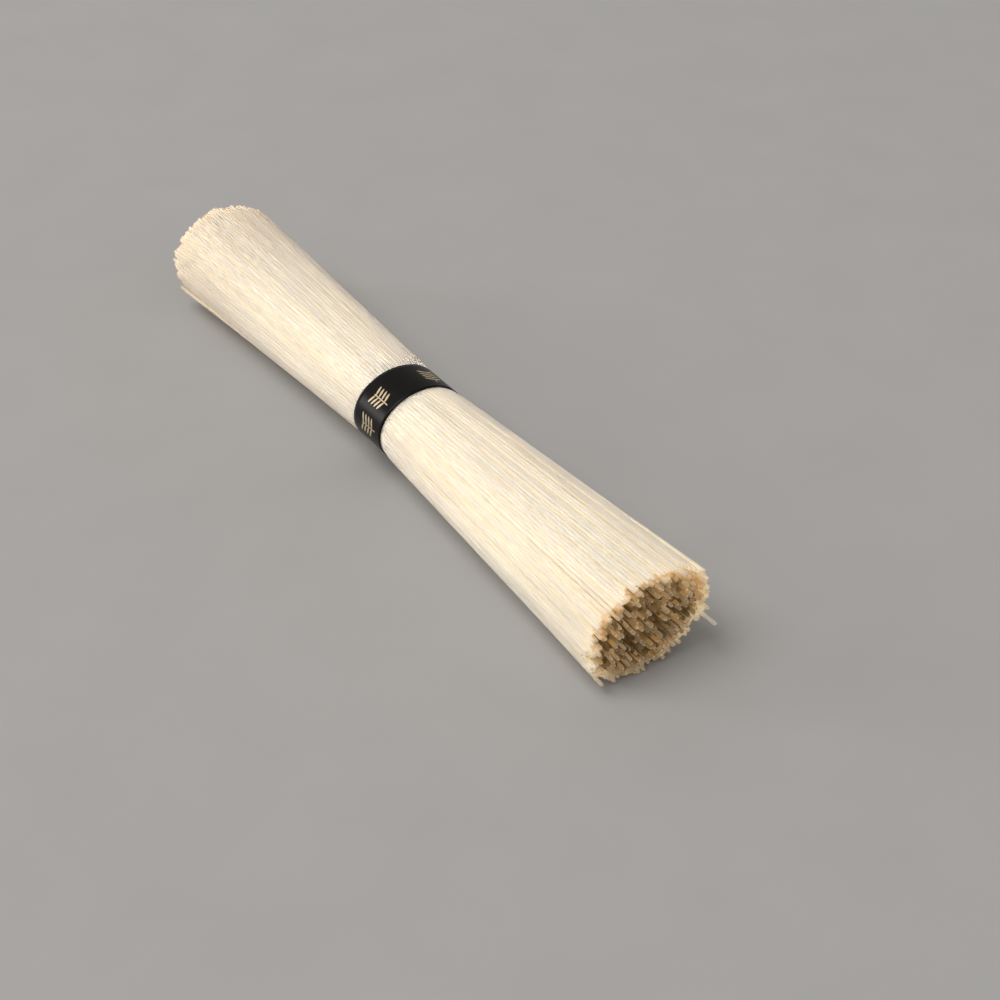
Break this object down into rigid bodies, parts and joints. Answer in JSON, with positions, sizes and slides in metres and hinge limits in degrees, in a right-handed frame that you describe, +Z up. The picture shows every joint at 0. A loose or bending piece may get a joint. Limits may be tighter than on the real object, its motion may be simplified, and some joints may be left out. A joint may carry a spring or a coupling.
{
  "type": "bundle of dried somen",
  "caption": "Bundle of thin straight dried wheat noodles held at mid-length by a dark paper band, lying flat with both ends fanned out.",
  "frame": {"origin": "on the supporting surface, under the middle of the bundle", "axes": "+X along the noodles towards the lower, wider end; +Z up"},
  "size_m": [0.1974, 0.0324, 0.0263],
  "materials": {
    "noodle": "matte, cream, dry dough",
    "band_paper": "satin black paper with a dull gold print"
  },
  "bodies": {
    "root": {"noodle_bundle": "noodle", "paper_band": "band_paper"}
  },
  "joints": []
}
